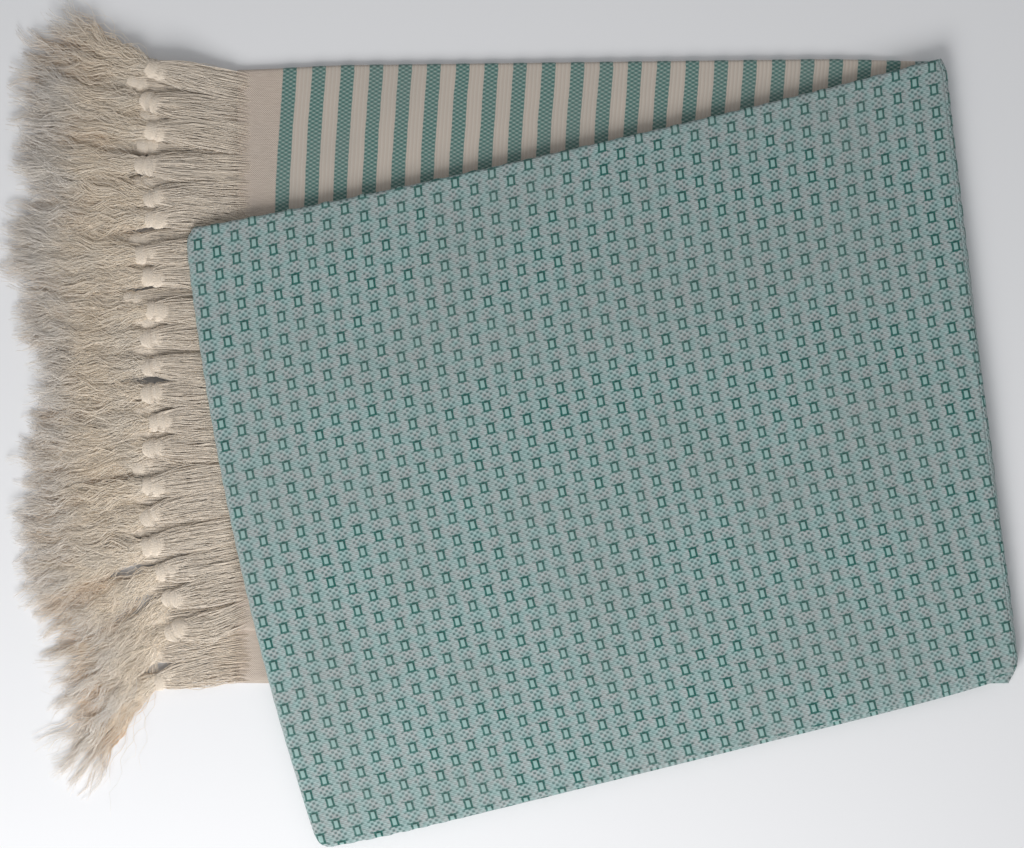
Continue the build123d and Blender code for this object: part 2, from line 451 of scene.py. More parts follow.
@dataclass
class Sheet:
    """One layer of a strip as a closed shell of cloth.

    Args:
        name: The piece's name.
        strip: The strip that it is a layer of.
        fold: How the towel lies.
        weave: The weave; not used.
        along: Shares along the strip, one for each row of the mesh.
        bend: The turn round a crosswise fold in radians, one for each row.
        bend_height: Height of the line that the rows turn about.
        bend_way: The direction in the plan that the fold bulges in.
        across: Shares across the strip, one for each column of the mesh.
        wrap: The turn round the lengthwise fold in radians, one for each column.
        extra: How far along the cloth each row lies beyond its place in the plan, in metres.
        lay: How the cloth runs in the plan.
        every: How many rows and columns of the outer face there are to one of the inner.
        puffed: Whether the weave's relief is in the shape of the outer face.
        bend_reach: How far a crosswise fold bulges, as a share of a round one.
        selvedge: The share across the strip that the scalloped selvedge starts at.
        scallop: How far each scallop of the selvedge stands out, in metres.
    """

    name: str
    strip: Strip
    fold: Fold
    weave: Weave
    along: np.ndarray
    bend: np.ndarray
    bend_height: float
    bend_way: np.ndarray
    across: np.ndarray
    wrap: np.ndarray
    extra: np.ndarray
    lay: Lay
    every: int = 1
    puffed: bool = False
    bend_reach: float = 1.0
    selvedge: float = 0.985
    scallop: float = 0.8 * MM

    def grid(self) -> tuple[np.ndarray, np.ndarray, np.ndarray]:
        """The places of the outer face's points, their outward normals and their places on
        the flat cloth."""
        shape = (len(self.along), len(self.across))
        u = np.broadcast_to(self.along[:, None], shape)
        v = np.broadcast_to(self.across[None, :], shape)
        phi = np.broadcast_to(self.wrap[None, :], shape)[..., None]
        theta = np.broadcast_to(self.bend[:, None], shape)[..., None]
        plan = self.strip.plan(u, v)
        back_way = np.append(self.strip.back_way(), 0)
        bend_way = np.append(self.bend_way, 0)
        reach = self.strip.middle - self.bend_height + self.fold.half * np.cos(phi)
        outward = np.cos(theta) * UP + self.bend_reach * np.sin(theta) * bend_way
        normal = np.sin(phi) * back_way + np.cos(phi) * outward
        points = np.concatenate([plan, np.full((*shape, 1), self.bend_height)], axis=-1)
        points = points + self.fold.half * np.sin(phi) * back_way + reach * outward
        cloth = self.lay.cloth(plan)
        cloth[..., 0] += self.extra[:, None]
        cloth[..., 1] -= self.fold.half * phi[..., 0]
        return points, normal, cloth

    def build(self, pattern: Pattern) -> bpy.types.Object:
        """Makes the shell, with the weave's relief on its outer face.

        Args:
            pattern: Where each weave lies.

        Returns:
            The piece, with its places on the flat cloth as the UV map "cloth".
        """
        points, normal, cloth = self.grid()
        rise = undulation(points[..., :2]) * points[..., 2] / self.fold.level(6)
        points = points + rise[..., None] * UP
        inner = (points - self.fold.ply * normal)[:: self.every, :: self.every]
        if self.puffed:
            relief = pattern.relief(cloth[..., 0], cloth[..., 1])
            relief = relief * smooth(0.5 * MM, 4 * MM, points[..., 2])
            points = points + relief[..., None] * normal
            selvedge = smooth(self.selvedge, 1, self.across)[None, :, None]
            wave = 0.5 + 0.5 * np.cos(math.tau * cloth[..., 0] / pattern.column)
            out = np.append(-self.strip.back_way(), 0)
            points = points + selvedge * (self.scallop * wave)[..., None] * out
        rows, columns = points.shape[:2]
        vertices = np.concatenate([points.reshape(-1, 3), inner.reshape(-1, 3)])
        coarse = cloth[:: self.every, :: self.every]
        flat = np.concatenate([cloth.reshape(-1, 2), coarse.reshape(-1, 2)])
        faces = quads(rows, columns, 0, False)
        first = rows * columns
        inner_rows, inner_columns = inner.shape[:2]
        faces += quads(inner_rows, inner_columns, first, True)
        faces += self.rim(rows, columns, inner_rows, inner_columns)
        middle, last = rows // 2, columns - 1
        crosswise = points[middle, last] - points[middle, last - 1]
        lengthwise = points[middle + 1, last - 1] - points[middle, last - 1]
        if np.cross(crosswise, lengthwise) @ normal[middle, last] < 0:
            faces = [face[::-1] for face in faces]
        piece = new_piece(self.name, vertices, faces)
        map_faces(piece, "cloth", flat)
        return piece

    def rim(self, rows: int, columns: int, inner_rows: int, inner_columns: int) -> list:
        """The faces that close the shell round its edge.

        Args:
            rows: How many rows of points the outer face has.
            columns: How many points there are in each.
            inner_rows: The same for the inner face.
            inner_columns: The same for the inner face.

        Returns:
            The faces, as lists of vertex numbers.
        """
        first = rows * columns
        step = self.every
        faces = []
        for i in range(inner_rows - 1):
            outer = [(i * step + k) * columns for k in range(step + 1)]
            here, there = first + i * inner_columns, first + (i + 1) * inner_columns
            faces.append([there, here, *outer])
            outer = [value + columns - 1 for value in outer]
            here, there = here + inner_columns - 1, there + inner_columns - 1
            faces.append([here, there, *reversed(outer)])
        for j in range(inner_columns - 1):
            outer = [j * step + k for k in range(step + 1)]
            here, there = first + j, first + j + 1
            faces.append([here, there, *reversed(outer)])
            outer = [value + (rows - 1) * columns for value in outer]
            here, there = (value + (inner_rows - 1) * inner_columns for value in (here, there))
            faces.append([there, here, *outer])
        return faces


def quads(rows: int, columns: int, first: int, turned: bool) -> list:
    """The square faces of a grid of points, as lists of vertex numbers.

    Args:
        rows: How many rows of points there are.
        columns: How many points there are in a row.
        first: The number of the first vertex.
        turned: Whether the faces look the other way.

    Returns:
        The faces.
    """
    start = first + np.arange(rows - 1)[:, None] * columns + np.arange(columns - 1)[None, :]
    ring = [start, start + 1, start + columns + 1, start + columns]
    ring = ring[::-1] if turned else ring
    return np.stack(ring, axis=-1).reshape(-1, 4).tolist()


def new_piece(name: str, vertices: np.ndarray, faces: list) -> bpy.types.Object:
    """A smooth-shaded mesh object at the origin.

    Args:
        name: Its name.
        vertices: Its vertices, in metres.
        faces: Its faces, as lists of vertex numbers.

    Returns:
        The piece.
    """
    mesh = bpy.data.meshes.new(name)
    mesh.from_pydata(vertices.tolist(), [], faces)
    mesh.update()
    mesh.shade_smooth()
    piece = bpy.data.objects.new(name, mesh)
    bpy.context.collection.objects.link(piece)
    return piece


def map_faces(piece: bpy.types.Object, name: str, places: np.ndarray) -> None:
    """Gives a piece a UV map with one place for each vertex.

    Args:
        piece: The piece.
        name: The map's name.
        places: The place of each vertex on the map.
    """
    layer = piece.data.uv_layers.new(name=name)
    corners = np.empty(len(piece.data.loops), dtype=np.int32)
    piece.data.loops.foreach_get("vertex_index", corners)
    layer.data.foreach_set("uv", places[corners].astype(np.float32).ravel())


@dataclass(frozen=True)
class Signal:
    """One number that varies over a surface, as a socket with arithmetic."""

    shade: "Shade"
    socket: object

    def maths(self, operation: str, *others: object) -> "Signal":
        """A Math node on this number and others.

        Args:
            operation: The node's operation.
            others: Numbers or other signals, in the order of its inputs.

        Returns:
            The result.
        """
        values = [self.socket, *(getattr(other, "socket", other) for other in others)]
        node = self.shade.node(
            "ShaderNodeMath", {"operation": operation}, dict(enumerate(values))
        )
        return Signal(self.shade, node.outputs[0])

    def __add__(self, other: object) -> "Signal":
        """Their sum."""
        return self.maths("ADD", other)

    __radd__ = __add__

    def __sub__(self, other: object) -> "Signal":
        """This less the other."""
        return self.maths("SUBTRACT", other)

    def __rsub__(self, other: object) -> "Signal":
        """The other less this."""
        return Signal(self.shade, other).maths("SUBTRACT", self)

    def __mul__(self, other: object) -> "Signal":
        """Their product."""
        return self.maths("MULTIPLY", other)

    __rmul__ = __mul__

    def __truediv__(self, other: object) -> "Signal":
        """This over the other."""
        return self.maths("DIVIDE", other)

    def __rtruediv__(self, other: object) -> "Signal":
        """The other over this."""
        return Signal(self.shade, other).maths("DIVIDE", self)

    def smooth(self, low: float, high: float) -> "Signal":
        """Rises smoothly from 0 at low to 1 at high, or falls where low is the larger.

        Args:
            low: Where it is 0.
            high: Where it is 1.

        Returns:
            The result.
        """
        settings = {"interpolation_type": "SMOOTHSTEP"}
        falls = low > high
        values = {"Value": self.socket, "From Min": min(low, high), "From Max": max(low, high)}
        values |= {"To Min": 1.0, "To Max": 0.0} if falls else {}
        node = self.shade.node("ShaderNodeMapRange", settings, values)
        return Signal(self.shade, node.outputs[0])


class Shade:
    """One node material, built from numbers and colours.

    Args:
        name: The material's name.
    """

    def __init__(self, name: str) -> None:
        """Starts a material with a Principled shader."""
        self.material = bpy.data.materials.new(name)
        self.material.use_nodes = True
        self.tree = self.material.node_tree
        self.shader = self.tree.nodes["Principled BSDF"]

    def node(self, kind: str, settings: dict, values: dict) -> bpy.types.Node:
        """Adds a node.

        Args:
            kind: The node's type.
            settings: Its settings by name, which are made first.
            values: Values or links for its inputs, by name or number.

        Returns:
            The node.
        """
        node = self.tree.nodes.new(kind)
        for name, value in settings.items():
            setattr(node, name, value)
        for name, value in values.items():
            if isinstance(value, bpy.types.NodeSocket):
                self.tree.links.new(value, node.inputs[name])
            else:
                node.inputs[name].default_value = value
        return node

    def place(self, name: str) -> tuple[Signal, Signal]:
        """The two numbers of a UV map, in millimetres."""
        source = self.node("ShaderNodeUVMap", {"uv_map": name}, {})
        parts = self.node("ShaderNodeSeparateXYZ", {}, {0: source.outputs[0]})
        return Signal(self, parts.outputs[0]) * 1000.0, Signal(self, parts.outputs[1]) * 1000.0

    def vector(self, x: object, y: object, z: object = 0.0) -> object:
        """A vector socket of three numbers."""
        values = {i: getattr(part, "socket", part) for i, part in enumerate((x, y, z))}
        return self.node("ShaderNodeCombineXYZ", {}, values).outputs[0]

    def noise(self, vector: object, scale: float, detail: float = 2.0) -> Signal:
        """Noise from 0 to 1 at a vector's place."""
        values = {"Vector": vector, "Scale": scale, "Detail": detail}
        node = self.node("ShaderNodeTexNoise", {}, values)
        return Signal(self, node.outputs["Fac"])

    def chance(self, vector: object) -> Signal:
        """One random number for each vector."""
        node = self.node("ShaderNodeTexWhiteNoise", {"noise_dimensions": "2D"}, {0: vector})
        return Signal(self, node.outputs["Value"])

    def mix(self, mask: Signal, first: object, second: object) -> object:
        """A colour that goes from first to second with the mask."""
        values = {0: mask.socket, 6: opaque(first), 7: opaque(second)}
        return self.node("ShaderNodeMix", {"data_type": "RGBA"}, values).outputs[2]

    def constants(self, values: dict[str, object]) -> None:
        """Sets inputs of the shader that are the same all over."""
        for name, value in values.items():
            self.shader.inputs[name].default_value = value

    def finish(self, colour: object, height: Signal, depth: float, rough: Signal) -> None:
        """Wires a colour, a bump of a depth in metres and a roughness to the shader.

        Args:
            colour: The colour's socket.
            height: The height of the surface, from 0 to 1.
            depth: How deep a height of 1 is, in metres.
            rough: The roughness.
        """
        values = {"Height": height.socket, "Distance": depth, "Strength": 1.0}
        bump = self.node("ShaderNodeBump", {}, values)
        self.tree.links.new(colour, self.shader.inputs["Base Color"])
        self.tree.links.new(bump.outputs[0], self.shader.inputs["Normal"])
        self.tree.links.new(rough.socket, self.shader.inputs["Roughness"])


def opaque(colour: object) -> object:
    """A colour of three sRGB values from 0 to 255 as a linear RGBA, or a socket as it is.

    Args:
        colour: The colour or the socket.

    Returns:
        What a colour input takes.
    """
    if isinstance(colour, bpy.types.NodeSocket):
        return colour
    shares = [value / 255 for value in colour]
    linear = [s / 12.92 if s <= 0.04045 else ((s + 0.055) / 1.055) ** 2.4 for s in shares]
    return (*linear, 1.0)


@dataclass(frozen=True)
class Cotton:
    """The towel's cloth: a plain cream hem, teal birdseye bands, and the all-over block weave."""

    pattern: Pattern
    cream: tuple = (206, 191, 177)
    cream_shade: tuple = (190, 174, 160)
    ribbed: tuple = (200, 190, 178)
    dark_teal: tuple = (78, 115, 110)
    mid_teal: tuple = (106, 138, 131)
    pale_teal: tuple = (150, 168, 160)
    outline: tuple = (30, 98, 90)
    inside: tuple = (148, 183, 178)
    ground: tuple = (161, 168, 167)
    ground_green: tuple = (140, 169, 166)
    ground_pale: tuple = (176, 198, 197)
    dot: tuple = (78, 111, 110)
    worn: tuple = (150, 150, 146)

    def make(self) -> bpy.types.Material:
        """The cloth's material, which reads the UV map "cloth"."""
        shade = Shade("woven_cotton")
        s, w = shade.place("cloth")
        spot = shade.vector(s, w)
        stray = shade.noise(spot, 0.035, 2.0) - 0.5
        s, w = s + stray * 1.6, w + (shade.noise(shade.vector(w, s), 0.03, 2.0) - 0.5) * 1.8
        block, block_height = self.blocks(shade, s, w)
        striped, striped_height = self.stripes(shade, s, w)
        plain, plain_height = self.plain(shade, s, w)
        start, stop = self.pattern.hem / MM, self.pattern.stripes_end() / MM
        far = self.pattern.end / MM - start
        in_blocks = s.smooth(stop - 0.6, stop + 0.6)
        hems = s.smooth(start + 0.5, start - 0.5) + s.smooth(far - 0.5, far + 0.5)
        in_hem = hems.smooth(0, 1)
        colour = shade.mix(in_blocks, striped, block)
        colour = shade.mix(in_hem, colour, plain)
        height = striped_height * (1 - in_blocks) + block_height * in_blocks
        height = height * (1 - in_hem) + plain_height * in_hem
        wear = shade.noise(spot, 0.012, 3.0)
        colour = shade.mix(wear.smooth(0.35, 0.7) * 0.16, colour, self.worn)
        shade.finish(colour, height, 0.45 * MM, 0.82 + wear * 0.12)
        shade.constants({"Sheen Weight": 0.25, "Sheen Roughness": 0.5, "Specular IOR Level": 0.25})
        return shade.material

    def threads(self, shade: Shade, s: Signal, w: Signal, pitch: float) -> Signal:
        """The over and under of a plain weave, from -1 to 1."""
        return (s * (math.tau / pitch)).maths("SINE") * (w * (math.tau / pitch)).maths("SINE")

    def plain(self, shade: Shade, s: Signal, w: Signal) -> tuple[object, Signal]:
        """The hem's fine plain weave: its colour and its height.

        Args:
            shade: The material.
            s: Millimetres along the cloth.
            w: Millimetres across the cloth.

        Returns:
            The colour's socket and the height.
        """
        grain = self.threads(shade, s, w, 1.7)
        streak = shade.noise(shade.vector(s * 0.25, w * 2.0), 0.5, 2.0)
        colour = shade.mix(streak.smooth(0.3, 0.75) * 0.7, self.cream, self.cream_shade)
        return colour, grain * 0.35 + streak * 0.8

    def stripes(self, shade: Shade, s: Signal, w: Signal) -> tuple[object, Signal]:
        """The teal birdseye bands with ribbed cream between them: colour and height.

        Args:
            shade: The material.
            s: Millimetres along the cloth.
            w: Millimetres across the cloth.

        Returns:
            The colour's socket and the height.
        """
        pitch, band = self.pattern.band_pitch / MM, self.pattern.band / MM
        step = (s - self.pattern.hem / MM) / pitch
        into = step.maths("FRACT") * pitch
        wobble = (shade.noise(shade.vector(0.0, w), 0.35, 1.0) - 0.5) * 0.9
        edge = into + wobble
        teal = edge.smooth(0.0, 0.7) * edge.smooth(band + 0.4, band - 0.3)
        eyes = ((into - 1.45) * (math.tau / 5.8)).maths("COSINE")
        eyes = eyes * (w * (math.tau / 3.44)).maths("COSINE")
        birdseye = shade.mix(eyes.smooth(-0.1, -0.75), self.mid_teal, self.pale_teal)
        birdseye = shade.mix(eyes.smooth(0.15, 0.6), birdseye, self.dark_teal)
        rib = (into * (math.tau / 3.2)).maths("COSINE")
        ribbed = shade.mix(rib.smooth(-1.0, 1.0) * 0.45, self.ribbed, self.cream_shade)
        colour = shade.mix(teal, ribbed, birdseye)
        return colour, teal * (0.4 - eyes * 0.5) + (1 - teal) * rib * 0.35

    def blocks(self, shade: Shade, s: Signal, w: Signal) -> tuple[object, Signal]:
        """The raised hollow blocks on a dotted ground: colour and height.

        Args:
            shade: The material.
            s: Millimetres along the cloth.
            w: Millimetres across the cloth.

        Returns:
            The colour's socket and the height.
        """
        column, row = self.pattern.column / MM, self.pattern.row / MM
        half_wide, half_tall = (value / MM for value in self.pattern.block)
        number = (s / column).maths("FLOOR")
        du = s - (number + 0.5) * column
        steps = w / row + (number * 0.5).maths("FRACT")
        rank = steps.maths("FLOOR")
        dv = (steps - rank - 0.5) * row
        luck = shade.chance(shade.vector(number, rank))
        side, up = du.maths("ABSOLUTE"), dv.maths("ABSOLUTE")
        rim = (side - half_wide).maths("MAXIMUM", up - half_tall)
        outline = rim.maths("ABSOLUTE").smooth(1.2, 0.4)
        inside = rim.smooth(-0.35, -0.95)
        ears = (up - half_tall - (side - half_wide) * 0.2).maths("ABSOLUTE").smooth(0.9, 0.2)
        ears = ears * side.smooth(5.6, 4.2) * side.smooth(1.8, 2.6)
        lattice = (du * (3 * math.tau / column)).maths("COSINE")
        lattice = lattice * (dv * (4 * math.tau / row)).maths("COSINE")
        floats = side.smooth(3.2, 4.4) * up.smooth(5.0, 3.6)
        floats = floats.maths("MAXIMUM", side.smooth(5.8, 6.8) * up.smooth(5.0, 6.4))
        dots = lattice.smooth(0.1, 0.62) * (1 - floats * 0.72) * (1 - inside)
        lines = (w * (math.tau / 1.55)).maths("COSINE")
        tint = shade.noise(shade.vector(s, w), 0.11, 3.0).smooth(0.35, 0.65)
        colour = shade.mix(tint, self.ground, self.ground_green)
        colour = shade.mix(lattice.smooth(-0.1, -0.8) * 0.55, colour, self.ground_pale)
        colour = shade.mix(floats * lines.smooth(-1.0, 1.0) * 0.28, colour, self.ground_pale)
        colour = shade.mix(dots * (0.62 + luck * 0.2), colour, self.dot)
        colour = shade.mix(ears * (0.45 + luck * 0.4), colour, self.outline)
        colour = shade.mix(inside * (0.7 + luck * 0.3), colour, self.inside)
        colour = shade.mix(outline * (0.8 + luck * 0.2), colour, self.outline)
        height = inside * 0.9 - outline * 0.35 - dots * 0.7 + lines * floats * 0.2
        return colour, height + lattice * -0.15


@dataclass(frozen=True)
class Yarn:
    """The fringe's loose cream cotton yarn: painted warm shade on its low yarns, and paler at the
    tips.
    """

    cream: tuple = (252, 240, 223)
    warm: tuple = (248, 229, 201)
    grey: tuple = (240, 231, 218)
    # painted shade: a warm brown that stands in for the shadow low among the yarns
    painted_shade: tuple = (236, 200, 158)
    rooted: tuple = (242, 229, 212)
    tip: tuple = (248, 243, 237)
    tips: tuple = (62, 104)  # where along a yarn the tip's colour comes in, in millimetres
    low: tuple = (7.5 * MM, 1.0 * MM)  # the heights over which the painted shade comes in, from none to full

    def make(self) -> bpy.types.Material:
        """The yarn's material, which reads the UV map "yarn": length along it and its number."""
        shade = Shade("cotton_yarn")
        run, number = shade.place("yarn")
        luck = shade.chance(shade.vector(number, 0.0))
        place = shade.node("ShaderNodeTexCoord", {}, {}).outputs["Object"]
        patch = shade.noise(place, 22.0, 3.0)
        fleck = shade.noise(shade.vector(run, number), 0.6, 2.0)
        colour = shade.mix(luck * 0.75, self.cream, self.warm)
        colour = shade.mix(patch.smooth(0.4, 0.72) * 0.55, colour, self.grey)
        colour = shade.mix(fleck.smooth(0.5, 0.75) * 0.3, colour, self.warm)
        parts = shade.node("ShaderNodeSeparateXYZ", {}, {0: place})
        last = YARN_STEP / MM * (Tassel.root_yarns + Tassel.wrap_yarns)
        rooted = number.smooth(last, last - 5)
        colour = shade.mix(rooted * 0.75, colour, self.rooted)
        tip = run.smooth(*self.tips) * (1.0 - rooted)
        colour = shade.mix(tip * 0.7, colour, self.tip)
        # painted shade: the lower a yarn lies, the more of the warm brown it takes, less so at the
        # tips and roots
        painted_shade = Signal(shade, parts.outputs[2]).smooth(*self.low)
        colour = shade.mix(painted_shade * (0.8 - tip * 0.6 - rooted * 0.55), colour, self.painted_shade)
        twist = (run * (math.tau / 2.2)).maths("SINE")
        shade.finish(colour, twist + fleck, 0.05 * MM, 0.86 + luck * 0.1)
        shade.constants({"Sheen Weight": 0.5, "Sheen Roughness": 0.6, "Specular IOR Level": 0.2})
        return shade.material


def spin(paths: np.ndarray, radius: np.ndarray, first: int, number: int) -> tuple:
    """Three-sided yarns along paths.

    Args:
        paths: An array of yarns, points and coordinates, in metres.
        radius: The yarn's radius at each point of each path.
        first: The number of the first vertex.
        number: The number of the first yarn.

    Returns:
        The vertices, the faces and the place of each vertex on the yarn's map.
    """
    count, steps = paths.shape[:2]
    ahead = np.gradient(paths, axis=1)
    ahead /= np.linalg.norm(ahead, axis=2, keepdims=True) + 1e-12
    side = np.cross(ahead, UP)
    side /= np.linalg.norm(side, axis=2, keepdims=True) + 1e-9
    over = np.cross(side, ahead)
    turns = np.arange(3) * math.tau / 3 + math.pi / 2
    turns = turns[:, None]
    ring = np.cos(turns) * side[:, :, None] + np.sin(turns) * over[:, :, None]
    vertices = (paths[:, :, None] + radius[:, :, None, None] * ring).reshape(-1, 3)
    start = first + (np.arange(count)[:, None, None] * steps + np.arange(steps - 1)[:, None]) * 3
    k = np.arange(3)[None, None, :]
    faces = np.stack([start + k, start + (k + 1) % 3, start + 3 + (k + 1) % 3, start + 3 + k], -1)
    ends = first + np.arange(count)[:, None] * steps * 3
    caps = np.concatenate([ends + [2, 1, 0], ends + (steps - 1) * 3 + [0, 1, 2]]).tolist()
    run = np.cumsum(np.linalg.norm(np.diff(paths, axis=1, prepend=paths[:, :1]), axis=2), axis=1)
    own = (number + np.arange(count))[:, None] * YARN_STEP
    spot = np.stack([run, np.broadcast_to(own, run.shape)])
    spot = np.repeat(np.moveaxis(spot, 0, -1).reshape(-1, 2), 3, axis=0)
    return vertices, faces.reshape(-1, 4).tolist() + caps, spot


@dataclass
class Tassel:
    """One bunch of warp ends: a fan of yarns out of the hem, an overhand knot and a loose skirt.

    Args:
        name: The name of the piece, and of the node that it stands for.
        root: The middle of its root on the fringed end, in the plan.
        hem_way: The direction of the fringed end.
        width: The width of its root.
        heading: The direction of its root, in degrees.
        skirt_turn: How far its skirt turns from that, in degrees.
        height: Height of the cloth that it leaves.
        rise: Height of its knot.
        rng: The numbers that make it differ from its neighbours.
    """

    name: str
    root: np.ndarray
    hem_way: np.ndarray
    width: float
    heading: float
    skirt_turn: float
    height: float
    rise: float
    rng: np.random.Generator
    root_length: float = 74.0 * MM
    skirt_length: float = 112.0 * MM
    root_yarns: int = 150
    locks: int = 20
    lock_yarns: int = 14
    wisps: int = 24
    wrap_yarns: int = 30
    yarn_radius: float = 0.27 * MM
    root_radius: float = 0.28 * MM
    wrap_radius: float = 0.42 * MM
    bundle: float = 7.0 * MM  # half the width of the roots at the knot
    opening: float = 7.6 * MM  # half the width of the skirt at the knot
    barrel: tuple[float, float] = (7.8, 9.2)  # a knot's least and greatest radius, in millimetres
    floor: float = 0.5 * MM  # the least height of a yarn
    pile: float = 14.4 * MM  # height of the whole folded towel

    def knot(self) -> np.ndarray:
        """The middle of the knot."""
        at = self.root + self.root_length * unit(self.heading)
        return np.array([*at, self.rise])

    def ways(self, angle: float) -> tuple[np.ndarray, np.ndarray]:
        """The directions along and across a heading."""
        ahead = np.append(unit(angle), 0)
        return ahead, np.cross(UP, ahead)

    def roots(self) -> tuple[np.ndarray, np.ndarray]:
        """The yarns from the hem to the knot: their paths and radii.

        Returns:
            An array of yarns, points and coordinates, and the radius at each point.
        """
        count, steps, rng = self.root_yarns, 11, self.rng
        ahead, side = self.ways(self.heading)
        share = np.linspace(0, 1, steps)[None, :, None]
        spread = (np.arange(count) + rng.uniform(-0.4, 0.4, count)) / count - 0.5
        over = rng.uniform(0, 1, count) < 0.6
        high = np.where(over, 0.5, rng.uniform(-0.6, 0.6, count))
        start = np.append(self.root, self.height)
        start = start + spread[:, None] * self.width * np.append(self.hem_way, 0)
        inside = np.where(over, 1.5 + 15 * rng.uniform(0, 1, count) ** 1.4, 1.5)
        start = start - inside[:, None] * MM * ahead + high[:, None] * MM * UP
        start[:, 2] += undulation(start[:, :2]) * start[:, 2] / self.pile
        turn = spread * 2.6 + rng.normal(0, 0.35, count)
        depth = np.sqrt(rng.uniform(0, 1, count))
        end = self.knot() + 4 * MM * ahead
        end = end + (self.bundle * depth * np.sin(turn))[:, None] * side
        end = end + (3.4 * MM * depth * np.cos(turn))[:, None] * UP
        along = start[:, None] + (end - start)[:, None] * share
        gather = share ** rng.uniform(3.0, 7.0, count)[:, None, None]
        off = ((start - end) @ side)[:, None, None] * (share - gather)
        level = smooth(0.2, 0.95, share)
        paths = along + off * side
        rise = start[:, None, 2] * (1 - level[..., 0]) + end[:, None, 2] * level[..., 0]
        slack = np.sin(math.pi * share)
        puff = 2.6 * MM * slack[..., 0] * (0.7 + 0.3 * np.cos(2.2 * spread))[:, None]
        paths[..., 2] = rise + puff * rng.uniform(0.75, 1.0, count)[:, None]
        paths[..., 2] += over[:, None] * 0.75 * MM * smooth(0, 0.16, share[..., 0])
        bow = rng.normal(0, 2.0) * MM * slack
        size = np.where(rng.uniform(0, 1, count) > 0.8, 3.0, 0.9)[:, None, None]
        waves = rng.uniform(0.7, 2.4, (count, 1, 1))
        swell = size * MM * np.sin(math.tau * waves * share + rng.uniform(0, 6, (count, 1, 1)))
        paths = paths + (bow + swell * slack) * side
        taper = 0.4 + 0.6 * smooth(0, 0.2, share[0, :, 0])
        return paths, np.tile(self.root_radius * taper, (count, 1))

    def skirt(self) -> tuple[np.ndarray, np.ndarray]:
        """The loose yarns beyond the knot, in wavy locks with a few wisps: paths and radii.

        Returns:
            An array of yarns, points and coordinates, and the radius at each point.
        """
        rng, steps = self.rng, 14
        full = self.locks * self.lock_yarns
        count = full + self.wisps
        share = np.linspace(0, 1, steps)
        lock = np.repeat(np.arange(self.locks), self.lock_yarns)
        lock = np.concatenate([lock, rng.integers(0, self.locks, self.wisps)])
        stray = np.concatenate([np.zeros(full), np.ones(self.wisps)])

        def each(low: float, high: float) -> np.ndarray:
            """One random number for each lock, as a column with a row for each yarn."""
            return rng.uniform(low, high, self.locks)[lock][:, None]

        fan = (np.arange(self.locks) + 0.5) / self.locks * 2 - 1
        fan = rng.permutation(fan) * 14 + rng.normal(0, 4, self.locks)
        fan = fan[lock] + stray * rng.uniform(-24, 24, count)
        length = self.skirt_length * rng.uniform(0.82, 1.05, self.locks)[lock]
        length = length * (1 - 0.25 * rng.uniform(0, 1, count) ** 2)
        bend = self.skirt_turn + rng.normal(0, 5)
        curl = rng.normal(0, 9, self.locks)[lock][:, None] * share
        angle = self.heading + bend * smooth(0, 0.35, share)
        angle = angle + fan[:, None] * (0.75 + 0.25 * share) + curl
        angle = angle + rng.normal(0, 2.2, count)[:, None] * share
        wave_length = each(22, 44) * MM
        phase = each(0, math.tau)
        size = each(12, 38) + stray[:, None] * 12
        along = share * length[:, None]
        own = rng.normal(0, 0.4, count)[:, None]
        wave = np.sin(math.tau * along / wave_length + phase + own)
        angle = angle + size * wave * smooth(0, 0.25, share)
        step = np.diff(along, axis=1, prepend=0)
        ahead = np.stack([np.cos(np.radians(angle)), np.sin(np.radians(angle))], axis=-1)
        plan = np.cumsum(ahead * step[..., None], axis=1)
        turn = rng.uniform(0, math.tau, count)
        depth = np.sqrt(rng.uniform(0, 1, count))
        way, side = self.ways(self.heading)
        start = self.knot() - 2 * MM * way
        start = start + (self.opening * depth * np.sin(turn))[:, None] * side
        loose = (1.0 + 4.0 * share) * MM * (depth * np.cos(turn + 2.0))[:, None]
        paths = np.zeros((count, steps, 3))
        paths[..., :2] = start[:, None, :2] + plan + loose[..., None] * side[:2]
        stack = rng.uniform(-1, 1, self.locks)[lock]
        high = self.rise + 3.2 * MM * depth * np.cos(turn)
        rest = 0.62 * self.rise + 3.2 * MM * stack + 1.3 * MM * depth * np.sin(turn)
        rest = rest + stray * 2.0 * MM
        fall = smooth(0.05, 0.8, share)
        roll = 1.6 * MM * np.sin(math.tau * along / (wave_length * 1.3) + phase * 1.7) * share
        paths[..., 2] = high[:, None] * (1 - fall) + rest[:, None] * fall + roll
        paths[..., 2] = np.maximum(paths[..., 2], self.floor + 0.4 * MM * depth[:, None])
        radius = self.yarn_radius * rng.uniform(0.7, 1.1, count) * (1 - 0.45 * stray)
        return paths, radius[:, None] * (1 - 0.5 * share**3)

